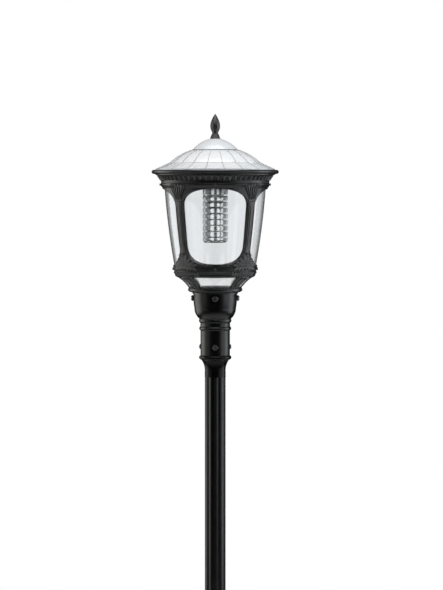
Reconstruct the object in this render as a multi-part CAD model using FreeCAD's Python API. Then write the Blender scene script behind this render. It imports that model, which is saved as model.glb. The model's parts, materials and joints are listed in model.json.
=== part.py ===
"""Solar post-top street lamp: a round four-window lantern on a fluted post.

Frame: millimetres, +Z up, origin at the centre of the base flange's underside.
The front window faces -Y, and the four ribs stand at 45 degrees between the windows.

The lamp is four groups of pieces, from the ground up:
  post      flange, fluted tube and adaptor, whose tenon carries the lantern
  lantern   fitter, two castings, two clear lenses, their seals and screws; it turns on the tenon
  roof      cornice, solar roof, battery, controller and the louvred LED column; it lifts out
  small     the finial, which unscrews, and the rocker of the power switch
"""

import FreeCAD
import Part

import math
import os

from FreeCAD import Vector

Z_AXIS = Vector(0, 0, 1)
ORIGIN = Vector(0, 0, 0)

# ---------------------------------------------------------------- clearances
slip_gap = 0.4          # radial gap of one casting sliding in another
lens_gap = 0.6          # between a lens and the casting around it
pin_gap = 0.05          # radial running clearance of a pin or a stud
tip_gap = 0.3           # between a clamp screw's tip and what it grips
small_gap = 0.3         # between small parts that only sit side by side
bond_gap = 0.2          # adhesive under the solar cells and the seam strips

# ---------------------------------------------------------------- post
base_radius = 140.0
base_edge = 10.0        # thickness of the flange at its rim
base_hub = 15.0         # thickness of the flange at the foot of its collar
base_floor = 8.0        # metal under the post in the blind socket
collar_radius = 52.0
collar_top = 72.0
anchor_pcd = 220.0
anchor_hole = 7.0
anchor_count = 4

post_radius = 38.0
post_bore = 33.0
post_top = 1440.0
flute_count = 12
flute_depth = 2.2
land_angle = 6.0        # width of the plain strip between two flutes, in degrees
land_turn = 5.0         # the land nearest the front is this far round from it

adaptor_skirt = 64.0    # height of the flare from the post up to the bead
adaptor_bead = 17.0     # height of the bead under the fitter
bead_radius = 59.0
spigot_depth = 60.0
spigot_bore = 27.0
tenon_radius = 49.4
tenon_wall = 4.0
tenon_height = 112.0

# ---------------------------------------------------------------- fitter
fitter_wall = 4.0
sleeve_height = 134.0   # plain sleeve with its two beads
bell_height = 89.0
bell_radius = 79.5
bell_flare = 6.2        # how far the bell's foot stands out from the sleeve
fitter_bead = 5.2       # how far the two beads stand out
clamp_height = 28.0     # clamp screws above the foot of the sleeve
clamp_count = 3
clamp_shank = 5.9
clamp_flats = 18.0
clamp_head = 7.0
clamp_boss = 12.5
clamp_boss_height = 2.6
bell_screw_drop = 15.6  # bell screws below the top of the bell
bell_screw_head = 11.0
bell_screw_shank = 4.9

# ---------------------------------------------------------------- lower casting and lens
collar_overhang = 19.5  # how far the collar stands out from the bell
collar_ring_height = 21.0
lower_window = 41.0     # height of the small sloping windows
lower_rib_angle = 20.0
rib_depth = 6.9         # thickness of the castings' ribs
ring_overhang = 3.0     # how far the lower casting's ring stands out from the main lens's foot
mid_ring_height = 24.0
lower_lens_wall = 3.0
lower_lens_inset = 3.5  # the lower lens's foot inside the collar
lower_lens_step = 10.0  # the lower lens's head inside the main lens's foot
spigot_wall = 4.5

# ---------------------------------------------------------------- upper casting and lens
band_bottom = 12.0      # height of the band's inner flange over the lower casting
window_sill = 17.0      # the window's lowest point above the lower casting
window_height = 280.3
window_half_angle = 40.0
top_arch = 62.0         # rise of the arch at the window's top
bottom_arch = 68.0
top_band_height = 22.7
top_band_wall = 13.5    # from the main lens's head to the outside of the top band
lens_foot_radius = 148.5
lens_bulge = 3.5        # how far the main lens's side swells beyond a straight cone
lens_head_radius = 184.5
lens_wall = 3.5
seal_height = 3.0
groove_width = 1.5      # angle of one groove down a rib, in degrees
groove_depth = 1.3
rib_count = 4
band_screw_head = 5.0
band_screw_shank = 2.0

# ---------------------------------------------------------------- cornice and roof
roof_seal_height = 2.0
cornice_height = 43.8
lip_overhang = 34.0     # how far the cornice's lip stands out from the top band
lip_height = 14.3
spigot_drop = 17.0      # how deep the cornice reaches into the top band
cornice_ledge = 11.0    # width of the ledge that the ceiling plate screws to
brim_inset = 10.0       # the solar roof's edge inside the cornice's lip
brim_width = 55.0
crown_width = 79.0
brim_rise = 23.4
crown_rise = 46.5
pan_wall = 2.0
cell_thickness = 2.4
seam_height = 1.6       # how far the seam strips stand above the cells
segment_count = 20
seam_angle = 1.0
cap_inset = 4.5         # the cap's edge inside the crown
cap_height = 40.5
cap_wall = 2.0
finial_height = 91.0
finial_foot = 20.0
stud_radius = 4.0
stud_hole = 4.6

# ---------------------------------------------------------------- ceiling plate and its load
plate_thickness = 3.0
battery_cell_radius = 16.0
battery_cell_height = 70.0
battery_pitch = 34.0
battery_columns = 4
battery_rows = 2
battery_offset = 62.0
tray_height = 6.0
controller_size = (100.0, 58.0, 20.0)
controller_offset = -64.0
lead_radius = 2.5
switch_offset = 105.0
rocker_tilt = 8.0

# ---------------------------------------------------------------- LED column
louvre_radius = 45.6
louvre_wall = 2.2
louvre_pitch = 21.9
louvre_height = 18.4
louvre_count = 7        # the end cap is the eighth tier
core_gap = 3.0          # between the rings' lugs and the corners of the hexagonal core
core_bore = 8.0
lead_hole = 14.0        # hole for the lead in the ceiling plate and the column's collar
board_inset = 3.0       # each LED board's edge inside the core's corner
board_thickness = 1.6
chip_size = (5.0, 1.2)
rod_radius = 3.0
hanger_inset = 4.0      # screws that hang the core, inside its corners
rod_count = 3
lug_wall = 3.0
lug_reach = 1.6         # how far a lug's round end would pass the ring's inner face
cap_corner = 13.0

# ---------------------------------------------------------------- heights worked out from the above
fitter_foot = post_top + adaptor_skirt + adaptor_bead
bell_base = fitter_foot + sleeve_height
bell_top = bell_base + bell_height
collar_ring_top = bell_top + collar_ring_height
mid_ring_base = collar_ring_top + lower_window
cage_foot = mid_ring_base + mid_ring_height
window_foot = cage_foot + window_sill
window_top = window_foot + window_height
cage_top = window_top + top_band_height
cornice_foot = cage_top + roof_seal_height
cornice_top = cornice_foot + cornice_height
kink_height = cornice_top + 1.8 + brim_rise
crown_height = kink_height + crown_rise
cap_foot = crown_height + 1.0
cap_top = cap_foot + cap_height
plate_top = cornice_foot - 6.0
plate_foot = plate_top - plate_thickness

lens_foot = cage_foot + band_bottom + seal_height
lens_head = cage_top - spigot_drop - seal_height
fitter_bore = tenon_radius + slip_gap
fitter_radius = fitter_bore + fitter_wall

# ---------------------------------------------------------------- radii worked out from the above
bell_foot = fitter_radius + bell_flare
collar_ring_radius = bell_radius + collar_overhang
lower_lens_foot = collar_ring_radius - lower_lens_inset
lower_lens_top = lens_foot_radius - lower_lens_step
mid_ring_radius = lens_foot_radius + ring_overhang
lens_mid_radius = (lens_foot_radius + lens_head_radius) / 2 + lens_bulge
top_band_radius = lens_head_radius + top_band_wall
lip_radius = top_band_radius + lip_overhang
brim_radius = lip_radius - brim_inset
kink_radius = brim_radius - brim_width
crown_radius = kink_radius - crown_width
cap_radius = crown_radius - cap_inset
lug_radius = rod_radius + lug_wall
rod_circle = louvre_radius - louvre_wall + lug_reach - lug_radius
core_corner = rod_circle - lug_radius - core_gap
core_flat = core_corner * math.cos(math.radians(30))
hanger_circle = core_corner - hanger_inset
board_width = core_corner - 2 * board_inset

parts = {}


# ================================================================ helpers
def outline(start, *steps):
    """A closed face in the XZ plane. A step is a point (r, z), or a pair (middle, end) for an arc."""
    edges = []
    here = start
    for step in list(steps) + [start]:
        arc = isinstance(step[0], tuple)
        end = step[1] if arc else step
        a, b = Vector(here[0], 0, here[1]), Vector(end[0], 0, end[1])
        if arc:
            middle = Vector(step[0][0], 0, step[0][1])
            edges.append(Part.Arc(a, middle, b).toShape())
        elif a.distanceToPoint(b) > 1e-6:
            edges.append(Part.makeLine(a, b))
        here = end
    return Part.Face(Part.Wire(edges))


def ring(start, *steps, angle=360.0, centre=0.0):
    """A turned solid about Z. With a smaller angle it is a slice whose middle stands at centre degrees."""
    solid = outline(start, *steps).revolve(ORIGIN, Z_AXIS, angle)
    if angle < 360:
        solid.rotate(ORIGIN, Z_AXIS, centre - angle / 2)
    return solid


def tube(radius, bore, foot, top):
    return ring((bore, foot), (radius, foot), (radius, top), (bore, top))


def disc(radius, foot, top, x=0.0, y=0.0):
    return Part.makeCylinder(radius, top - foot, Vector(x, y, foot))


def block(size_x, size_y, foot, top, x=0.0, y=0.0):
    corner = Vector(x - size_x / 2, y - size_y / 2, foot)
    return Part.makeBox(size_x, size_y, top - foot, corner)


def spoke(radius, near, far, height, angle):
    """A cylinder that lies along a radius, from near to far, at one height."""
    solid = Part.makeCylinder(radius, far - near, Vector(near, 0, height), Vector(1, 0, 0))
    solid.rotate(ORIGIN, Z_AXIS, angle)
    return solid


def turned(shape, angle):
    copy = shape.copy()
    copy.rotate(ORIGIN, Z_AXIS, angle)
    return copy


def around(shape, count, first=0.0):
    return [turned(shape, first + i * 360.0 / count) for i in range(count)]


def hexagon(flats, foot, top):
    """A hexagonal prism about Z, with the distance across its flats."""
    corner = flats / math.sqrt(3)
    points = [Vector(corner * math.cos(a), corner * math.sin(a), foot)
              for a in (math.radians(60 * i) for i in range(7))]
    return Part.Face(Part.makePolygon(points)).extrude(Vector(0, 0, top - foot))


def joined(first, *others):
    return first.fuse(list(others)).removeSplitter()


def add(name, *solids):
    """Keeps one node: one solid, or a group of separate solids."""
    parts[name] = solids[0] if len(solids) == 1 else Part.makeCompound(list(solids))


def circle_through(p, q, s):
    """Centre and radius of the circle through three points."""
    arc = Part.Arc(*[Vector(r, 0, z) for r, z in (p, q, s)]).toShape().Curve
    return arc.Center.x, arc.Center.z, arc.Radius


def radius_at(curve, z, side=1):
    """Where a circle from circle_through crosses a height, on its outer side."""
    r, height, radius = curve
    return r + side * math.sqrt(radius ** 2 - (z - height) ** 2)


# ================================================================ post
def make_base():
    socket = post_radius + small_gap
    cove_foot = collar_radius + 16
    body = ring(
        (0, 0), (base_radius, 0), (base_radius, base_edge - 3),
        ((base_radius - 0.9, base_edge - 0.9), (base_radius - 3, base_edge)),
        (cove_foot, base_hub),
        ((collar_radius + 4.7, base_hub + 4.7), (collar_radius, base_hub + 16)),
        (collar_radius, collar_top - 14),
        ((collar_radius + 4, collar_top - 9), (collar_radius, collar_top - 4)),
        (collar_radius - 4, collar_top), (socket, collar_top), (socket, base_floor), (0, base_floor),
    )
    holes = around(disc(anchor_hole, -1, base_hub + 5, anchor_pcd / 2), anchor_count, 45)
    screw_height = (base_hub + 16 + collar_top - 14) / 2
    screw_hole = spoke(4.0 + pin_gap, socket - 2, collar_radius + 3, screw_height, 0)
    taps = around(screw_hole, 3, land_turn - 90)
    add("base_flange", body.cut(holes + taps))

    screw = spoke(4.0, post_radius + tip_gap, collar_radius - 1, screw_height, 0)
    key = hexagon(4.0, 0, 4)
    key.rotate(ORIGIN, Vector(0, 1, 0), 90)
    key.translate(Vector(collar_radius - 4, 0, screw_height))
    add("flange_screws", *around(screw.cut(key), 3, land_turn - 90))


def make_post():
    """Twelve hollow flutes with narrow lands between them, cut by one closed outline."""
    edges = []
    pitch = 360.0 / flute_count

    def on(radius, degrees):
        a = math.radians(degrees - 90 + land_turn)
        return Vector(radius * math.cos(a), radius * math.sin(a), base_floor)

    for i in range(flute_count):
        land = i * pitch
        start, end = land - land_angle / 2, land + land_angle / 2
        following = land + pitch - land_angle / 2
        edges.append(Part.Arc(on(post_radius, start), on(post_radius, land), on(post_radius, end)).toShape())
        flute_floor = on(post_radius - flute_depth, land + pitch / 2)
        edges.append(Part.Arc(on(post_radius, end), flute_floor, on(post_radius, following)).toShape())
    section = Part.Face(Part.Wire(edges))
    post = section.extrude(Vector(0, 0, post_top - base_floor))
    add("post_tube", post.cut(disc(post_bore, base_floor - 1, post_top + 1)))


def make_adaptor():
    spigot = post_bore - slip_gap / 4
    skirt = post_radius + 0.4
    bead_foot = post_top + adaptor_skirt
    bore = tenon_radius - tenon_wall
    tenon_top = fitter_foot + tenon_height
    bead_edge = fitter_radius - 0.3
    add("post_adaptor", ring(
        (spigot_bore, post_top - spigot_depth), (spigot, post_top - spigot_depth), (spigot, post_top),
        (skirt, post_top), (skirt, post_top + 16),
        ((skirt + 3.9, post_top + 0.74 * adaptor_skirt), (skirt + 12, bead_foot - 1.5)),
        (bead_edge, bead_foot),
        ((bead_radius, bead_foot + adaptor_bead / 2), (bead_edge, fitter_foot - 2)),
        (bead_edge, fitter_foot), (tenon_radius, fitter_foot),
        (tenon_radius, tenon_top - 3), (tenon_radius - 2, tenon_top), (bore, tenon_top),
        (bore, bead_foot), (spigot_bore, bead_foot - 18),
    ))


# ================================================================ fitter
def make_fitter():
    low_bead = bell_base - 38.0
    high_bead = bell_base - 9.5
    r = fitter_radius
    out = fitter_bead
    bend = (bell_foot + 0.66 * (bell_radius - bell_foot - 3.5), bell_base + 14)
    waist = (bell_radius - 3.5, bell_base + 37)
    inner = -fitter_wall
    body = ring(
        (fitter_bore, fitter_foot), (r, fitter_foot), (r, low_bead - 7),
        ((r + out - 0.6, low_bead), (r + 0.6, low_bead + 8)),
        (r + 0.6, high_bead - 8),
        ((r + out + 0.4, high_bead), (r + 4, high_bead + 6.5)),
        (bell_foot, bell_base), (bend, waist),
        ((bell_radius - 0.8, bell_base + 56), (bell_radius, bell_top - 12)),
        (bell_radius, bell_top), (bell_radius + inner, bell_top), (bell_radius + inner, bell_top - 12),
        ((bell_radius - 0.8 + inner, bell_base + 56), (waist[0] + inner, waist[1])),
        ((bend[0] + inner, bend[1] + 1), (bell_foot + inner, bell_base + 2)),
        (fitter_bore, bell_base - 4),
    )
    bosses = around(spoke(clamp_boss, fitter_bore + 1, r + clamp_boss_height, fitter_foot + clamp_height, 0),
                    clamp_count, -90)
    body = joined(body, *bosses)
    clamp_hole = spoke(clamp_shank + pin_gap * 2, fitter_bore - 3, r + 6, fitter_foot + clamp_height, 0)
    screw_height = bell_top - bell_screw_drop
    bell_hole = spoke(bell_screw_shank + pin_gap * 2, bell_radius - 8, bell_radius + 4, screw_height, 0)
    add("fitter", body.cut(around(clamp_hole, clamp_count, -90) + around(bell_hole, 4)))


def hex_screw(shank, tip, face, flats, head, height):
    """A hexagon-headed screw that points at the axis, lying along +X."""
    body = spoke(shank, tip, face + 1, height, 0)
    top = hexagon(flats, 0, head)
    crown = Part.makeCone(flats / 2 + 5.2, flats / 2 - 0.6, head + 0.001)
    top = top.common(crown)
    top.rotate(ORIGIN, Z_AXIS, 30)
    top.rotate(ORIGIN, Vector(0, 1, 0), 90)
    top.translate(Vector(face, 0, height))
    return joined(body, top)


def dome_screw(shank, tip, face, head, rise, height, slot=1.6):
    """A round-headed screw along +X, with a driver slot across its head."""
    body = spoke(shank, tip, face + 0.5, height, 0)
    dome = ring((0, 0), (head, 0), (head, rise * 0.3), ((head * 0.74, rise * 0.82), (0, rise)))
    dome.rotate(ORIGIN, Vector(0, 1, 0), 90)
    dome.translate(Vector(face, 0, height))
    driver = Part.makeBox(rise, 2 * head + 2, slot, Vector(face + rise * 0.66, -head - 1, height - slot / 2))
    return joined(body, dome).cut(driver)


def make_fitter_screws():
    clamp = hex_screw(clamp_shank, tenon_radius + tip_gap, fitter_radius + clamp_boss_height,
                      clamp_flats, clamp_head, fitter_foot + clamp_height)
    add("clamp_screws", *around(clamp, clamp_count, -90))
    inside = bell_radius - fitter_wall - slip_gap - spigot_wall
    screw = dome_screw(bell_screw_shank, inside, bell_radius, bell_screw_head, 9.0,
                       bell_top - bell_screw_drop, 2.4)
    add("bell_screws", *around(screw, 4))


# ================================================================ lower casting and lens
def lower_lens_curve():
    """The hollow curve that the small lens and the lower ribs share: foot, middle and head."""
    foot = (lower_lens_foot, collar_ring_top)
    middle = (lower_lens_foot + 0.34 * (lower_lens_top - lower_lens_foot), collar_ring_top + 0.45 * lower_window)
    head = (lower_lens_top, mid_ring_base)
    return foot, middle, head


def shifted(point, dr, dz=0.0):
    return point[0] + dr, point[1] + dz


def make_lower_cage():
    foot, middle, head = lower_lens_curve()
    spigot = bell_radius - fitter_wall - slip_gap
    rim = collar_ring_radius
    seat = lower_lens_foot + lens_gap
    collar = ring(
        (spigot - spigot_wall, bell_top - 26), (spigot, bell_top - 26), (spigot, bell_top),
        (bell_radius + 3, bell_top), (bell_radius + 4, bell_top + 5),
        ((rim - 9, bell_top + 6.5), (rim - 2, bell_top + 10)),
        (rim, bell_top + 12), (rim, collar_ring_top - 2), (rim - 2, collar_ring_top),
        (seat, collar_ring_top), (seat, collar_ring_top - 7), (seat - 10, collar_ring_top - 7),
        (spigot - spigot_wall, bell_top - 2),
    )
    near, far = lens_gap, lens_gap + rib_depth
    rib = ring(
        shifted(foot, near), (shifted(middle, near), shifted(head, near)), shifted(head, near, 4),
        shifted(head, far + 1, 4), shifted(head, far + 1),
        (shifted(middle, far), shifted(foot, far - 4.5, -1)), shifted(foot, near, -1),
        angle=lower_rib_angle, centre=45)
    ridge = ring(
        shifted(foot, near + 2, -1), (shifted(middle, near + 2), shifted(head, near + 2)),
        shifted(head, near + 2, 4),
        shifted(head, far + 2.6, 4), shifted(head, far + 2.6),
        (shifted(middle, far + 2.4), shifted(foot, far - 3.4, -1)),
        angle=lower_rib_angle * 0.42, centre=45)
    inner = lower_lens_top + lens_gap
    rim = mid_ring_radius
    mid_ring = ring(
        (inner, mid_ring_base), (rim - 11, mid_ring_base), (rim - 7.5, mid_ring_base + 2.5),
        ((rim - 4.6, mid_ring_base + 6.5), (rim - 4.2, mid_ring_base + 11)),
        (rim - 1.6, mid_ring_base + 13),
        ((rim - 0.2, mid_ring_base + 16.5), (rim - 1.6, mid_ring_base + 20)),
        (rim - 2.6, cage_foot - 1.6), (rim - 2.6, cage_foot), (inner + spigot_wall, cage_foot),
        (inner + spigot_wall, cage_foot + band_bottom - 0.6), (inner, cage_foot + band_bottom - 0.6),
    )
    ribs = around(joined(rib, ridge), rib_count)
    body = joined(collar, mid_ring, *ribs)
    low_hole = spoke(bell_screw_shank + pin_gap, spigot - spigot_wall - 2, spigot + 2, bell_top - bell_screw_drop, 0)
    high_hole = spoke(band_screw_shank + pin_gap, inner - 2, rim, cage_foot + band_bottom / 2, 0)
    add("lower_cage", body.cut(around(low_hole, 4) + around(high_hole, 4)))


def make_lower_lens():
    foot, middle, head = lower_lens_curve()
    wall = -lower_lens_wall
    top = mid_ring_base + 5
    add("lower_lens", ring(
        shifted(foot, 0, -4), foot, (middle, head), (lower_lens_top, top), (lower_lens_top + wall, top),
        shifted(head, wall, -1), (shifted(middle, wall, -1), shifted(foot, wall)), shifted(foot, wall, -4),
    ))
    seat = collar_ring_top - 7
    add("lower_lens_foot_seal", tube(lower_lens_foot, lower_lens_foot + wall - 1, seat, collar_ring_top - 4))
    add("lower_lens_head_seal", tube(lower_lens_top, lower_lens_top - spigot_wall, top, top + seal_height))
    sleeve = lower_lens_top + 0.1
    sleeve_top = cage_foot + band_bottom + 3
    body = tube(sleeve, sleeve - spigot_wall, top + seal_height, sleeve_top)
    hole = spoke(band_screw_shank + pin_gap, sleeve - spigot_wall - 2, sleeve + 2, cage_foot + band_bottom / 2, 0)
    add("lens_retainer", body.cut(around(hole, 4)))


# ================================================================ upper casting and lens
def lens_curve():
    """Foot, middle and head of the main lens's outer arc."""
    foot = (lens_foot_radius, lens_foot)
    middle = (lens_mid_radius, lens_foot + 0.49 * (lens_head - lens_foot))
    head = (lens_head_radius, lens_head)
    return foot, middle, head


def window_cutter():
    """A wedge out from the axis: sides at a steady angle between two elliptical arches."""
    low = window_foot + bottom_arch
    high = window_top - top_arch

    def outline_at(reach):
        half = reach * math.tan(math.radians(window_half_angle))

        def arch(centre, rise, first, last):
            ellipse = Part.Ellipse(Vector(0, centre, 0), half, rise)
            return Part.ArcOfEllipse(ellipse, math.radians(first), math.radians(last)).toShape()

        wire = Part.Wire([
            arch(high, top_arch, 0, 180), Part.makeLine(Vector(-half, high, 0), Vector(-half, low, 0)),
            arch(low, bottom_arch, 180, 360), Part.makeLine(Vector(half, low, 0), Vector(half, high, 0)),
        ])
        wire.rotate(ORIGIN, Vector(1, 0, 0), 90)
        wire.translate(Vector(0, -reach, 0))
        return wire

    inside_lens = 0.7 * lens_foot_radius
    return Part.makeLoft([outline_at(inside_lens), outline_at(lip_radius + 20)], True, True)


def make_upper_cage():
    foot, middle, head = lens_curve()
    near, far = lens_gap, lens_gap + rib_depth
    rim = top_band_radius
    band = mid_ring_radius + 1.5
    socket = lower_lens_top + lens_gap + spigot_wall + slip_gap
    shell = ring(
        (socket, cage_foot), (band - 1.5, cage_foot), (band, cage_foot + 2),
        (band, window_foot - 3), (band + 1, window_foot), (lens_foot_radius + far, window_foot + 3),
        (shifted(middle, far), shifted(head, far)),
        (rim - 3, window_top + 6), (rim - 0.5, window_top + 10),
        ((rim + 2, window_top + 15), (rim, window_top + 20)),
        (rim, cage_top), (lens_head_radius + near + 0.2, cage_top), shifted(head, near + 0.2, 1),
        (shifted(middle, near), shifted(foot, near)),
        (lens_foot_radius + near, lens_foot - seal_height), (socket, lens_foot - seal_height),
    )
    shell = shell.cut(around(window_cutter(), rib_count))

    groove_foot = window_foot + bottom_arch + 4
    groove_top = window_top - top_arch - 2
    lens = circle_through(foot, middle, head)
    ends = [radius_at(lens, z) + far for z in (groove_foot, (groove_foot + groove_top) / 2, groove_top)]
    low, mid, high = zip(ends, (groove_foot, (groove_foot + groove_top) / 2, groove_top))
    deep = -groove_depth
    grooves = []
    for offset in (-2.6, 2.6):
        groove = ring(
            shifted(low, deep), shifted(low, 4), (shifted(mid, 4), shifted(high, 4)), shifted(high, deep),
            (shifted(mid, deep), shifted(low, deep)),
            angle=groove_width, centre=45 + offset)
        grooves += around(groove, rib_count)
    low_hole = spoke(band_screw_shank + pin_gap, lower_lens_top - 2, band + 2, cage_foot + band_bottom / 2, 0)
    high_hole = spoke(band_screw_shank + pin_gap, lens_head_radius - 4, rim + 4, window_top + 15, 0)
    add("upper_cage", shell.cut(grooves + around(low_hole, 4) + around(high_hole, 4)))


def make_main_lens():
    foot, middle, head = lens_curve()
    wall = -lens_wall
    add("main_lens", ring(
        foot, (middle, head), shifted(head, wall), (shifted(middle, wall), shifted(foot, wall)),
    ))
    add("lens_foot_seal", tube(lens_foot_radius, lens_foot_radius - 6, lens_foot - seal_height, lens_foot))
    add("lens_head_seal", tube(lens_head_radius, lens_head_radius - 6, lens_head, lens_head + seal_height))


def make_band_screws():
    low = dome_screw(band_screw_shank, lower_lens_top + 0.1 - spigot_wall, mid_ring_radius + 1.6,
                     band_screw_head, 3.4, cage_foot + band_bottom / 2)
    add("ring_screws", *around(low, 4))
    spigot = lens_head_radius + lens_gap + 0.2 - slip_gap
    high = dome_screw(band_screw_shank, spigot + tip_gap, top_band_radius + 2.1,
                      band_screw_head, 3.2, window_top + 15)
    add("roof_screws", *around(high, 4))


# ================================================================ roof
def roof_curve():
    """The roof's outer surface: brim edge, kink, the middle of the crown's arc and its top."""
    edge = (brim_radius, kink_height - brim_rise)
    kink = (kink_radius, kink_height)
    middle = (kink_radius - 0.355 * (kink_radius - crown_radius), kink_height + 0.478 * crown_rise)
    crown = (crown_radius, crown_height)
    return edge, kink, middle, crown


def make_cornice():
    spigot = lens_head_radius + lens_gap + 0.2 - slip_gap
    inside = spigot - 8
    rim = top_band_radius
    lip = lip_radius
    step = cornice_foot + 25.3
    lip_middle = cornice_top - lip_height / 2
    seat = kink_height - brim_rise - 4.0
    body = ring(
        (inside, cornice_foot - spigot_drop - roof_seal_height),
        (spigot, cornice_foot - spigot_drop - roof_seal_height),
        (spigot, cornice_foot), (rim, cornice_foot), (rim, cornice_foot + 3.6),
        ((rim + 5.8, cornice_foot + 15.4), (rim + 17.5, step)),
        (rim + 19.5, step), (rim + 19.5, step + 2.6), (lip - 6, cornice_top - lip_height),
        ((lip, lip_middle), (lip - 6, cornice_top)), (brim_radius + 0.6, cornice_top),
        (brim_radius + 0.6, seat), (brim_radius - 16, seat), (brim_radius - 30, cornice_foot + 9),
        (inside - cornice_ledge, cornice_foot + 2), (inside - cornice_ledge, plate_top), (inside, plate_top),
    )
    holes = around(disc(2.0, plate_top - 1, plate_top + 7, inside - cornice_ledge / 2), 6, 30)
    add("cornice", body.cut(holes))
    add("roof_seal", tube(rim - 1.2, spigot + small_gap, cage_top, cornice_foot))


def make_roof_pan():
    edge, kink, middle, crown = roof_curve()
    drop = -cell_thickness
    under = drop - pan_wall
    seat = edge[1] - 4.0
    add("roof_pan", ring(
        (brim_radius, seat), (brim_radius, edge[1] + drop), shifted(kink, 0, drop),
        (shifted(middle, 0, drop), shifted(crown, 0, drop)), (stud_hole, crown[1] + drop),
        (stud_hole, crown[1] + under), shifted(crown, -0.5, under),
        (shifted(middle, -0.5, under), shifted(kink, -0.5, under)),
        (brim_radius - 15, seat + 2.6), (brim_radius - 15, seat),
    ))


def make_solar_cells():
    """Two rings of laminated cells, and the seam strips that hold their long edges."""
    kink, middle, crown = roof_curve()[1:]
    arc = circle_through(kink, middle, crown)
    slope = brim_rise / (brim_radius - kink_radius)

    def brim_at(r):
        return kink_height - slope * (r - kink_radius)

    def crown_at(r):
        return arc[1] + math.sqrt(arc[2] ** 2 - (r - arc[0]) ** 2)

    drop = bond_gap - cell_thickness
    pitch = 360.0 / segment_count
    width = pitch - seam_angle - 0.1
    inner, outer = crown_radius + 1.5, kink_radius - 1.5
    centre = (inner + outer) / 2
    points = [(r, crown_at(r)) for r in (outer, centre, inner)]
    upper = ring(
        shifted(points[0], 0, drop), points[0], (points[1], points[2]), shifted(points[2], 0, drop),
        (shifted(points[1], 0, drop), shifted(points[0], 0, drop)), angle=width, centre=-90)
    add("solar_cells_upper", *around(upper, segment_count))

    inner, outer = kink_radius + 1.5, brim_radius - 5
    low, high = (outer, brim_at(outer)), (inner, brim_at(inner))
    lower = ring(shifted(low, 0, drop), low, high, shifted(high, 0, drop), angle=width, centre=-90)
    add("solar_cells_lower", *around(lower, segment_count))

    start, end = (brim_radius - 4, brim_at(brim_radius - 4)), (crown_radius + 0.5, crown_at(crown_radius + 0.5))
    up = seam_height
    strip = ring(
        shifted(start, 0, drop), shifted(start, 0, up * 0.4), shifted(start, -3, up), shifted(kink, 0, up),
        (shifted(middle, 0, up), shifted(end, 0, up)), shifted(end, 0, drop),
        (shifted(middle, 0, drop), shifted(kink, 0, drop)), angle=seam_angle, centre=-90)
    add("seam_strips", *around(strip, segment_count, pitch / 2))


def make_roof_cap():
    seal_foot = crown_height - cell_thickness
    add("cap_seal", tube(cap_radius + 1, cap_radius - 9, seal_foot, cap_foot))
    shoulder = (cap_radius - 25.5, cap_foot + 0.57 * cap_height)
    wall = cap_wall
    add("roof_cap", ring(
        (cap_radius, cap_foot), (shoulder, (22, cap_top - 0.6)), (20, cap_top), (stud_hole, cap_top),
        (stud_hole, cap_top - wall), (20, cap_top - wall),
        (shifted(shoulder, -wall, -wall * 0.6), (cap_radius - wall - 0.6, cap_foot)),
    ))


def make_finial():
    """An eight-sided bud on a flared foot, bored for the stud."""
    h = finial_height
    foot = finial_foot
    skirt = [(foot, 0), (foot, 0.025 * h), (0.87 * foot, 0.09 * h), (0.66 * foot, 0.20 * h)]
    bud = [(0.62 * foot, 0.195 * h), (0.60 * foot, 0.25 * h), (0.74 * foot, 0.32 * h), (0.94 * foot, 0.43 * h),
           (0.97 * foot, 0.55 * h), (0.80 * foot, 0.70 * h), (0.50 * foot, 0.84 * h), (0.20 * foot, 0.95 * h),
           (0.04 * foot, h)]

    def section(radius, height):
        points = [Vector(radius * math.cos(a), radius * math.sin(a), cap_top + height)
                  for a in (math.radians(22.5 + 45 * i) for i in range(9))]
        return Part.makePolygon(points)

    base = Part.makeLoft([section(*p) for p in skirt], True, True)
    top = Part.makeLoft([section(*p) for p in bud], True, False)
    body = joined(base, top)
    depth = 0.26 * h
    add("finial", body.cut(disc(stud_radius + pin_gap, cap_top - 1, cap_top + depth)))

    pan_under = crown_height - cell_thickness - pan_wall
    add("finial_stud", disc(stud_radius, pan_under - 16, cap_top + depth - 2))
    nut = hexagon(13.0, pan_under - 8, pan_under)
    add("finial_nut", nut.cut(disc(stud_radius, pan_under - 9, pan_under + 1)))


# ================================================================ ceiling plate and its load
def make_ceiling_plate():
    inside = lens_head_radius + lens_gap + 0.2 - slip_gap - 8
    radius = inside - slip_gap
    plate = disc(radius, plate_foot, plate_top)
    screw_circle = inside - cornice_ledge / 2
    holes = around(disc(2.2, plate_foot - 1, plate_top + 1, screw_circle), 6, 30)
    holes += around(disc(2.2, plate_foot - 1, plate_top + 1, hanger_circle), 3, 30)
    holes.append(disc(lead_hole, plate_foot - 1, plate_top + 1))
    holes.append(block(21.4, 13.4, plate_foot - 1, plate_top + 1, switch_offset))
    add("ceiling_plate", plate.cut(holes))

    shank = disc(2.0, plate_foot - 1, plate_top + 6, screw_circle)
    head = ring((0, plate_foot - 3), (2.6, plate_foot - 3), (4.2, plate_foot - 1.6), (4.2, plate_foot),
                (0, plate_foot))
    head.translate(Vector(screw_circle, 0, 0))
    add("plate_screws", *around(joined(shank, head), 6, 30))


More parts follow.
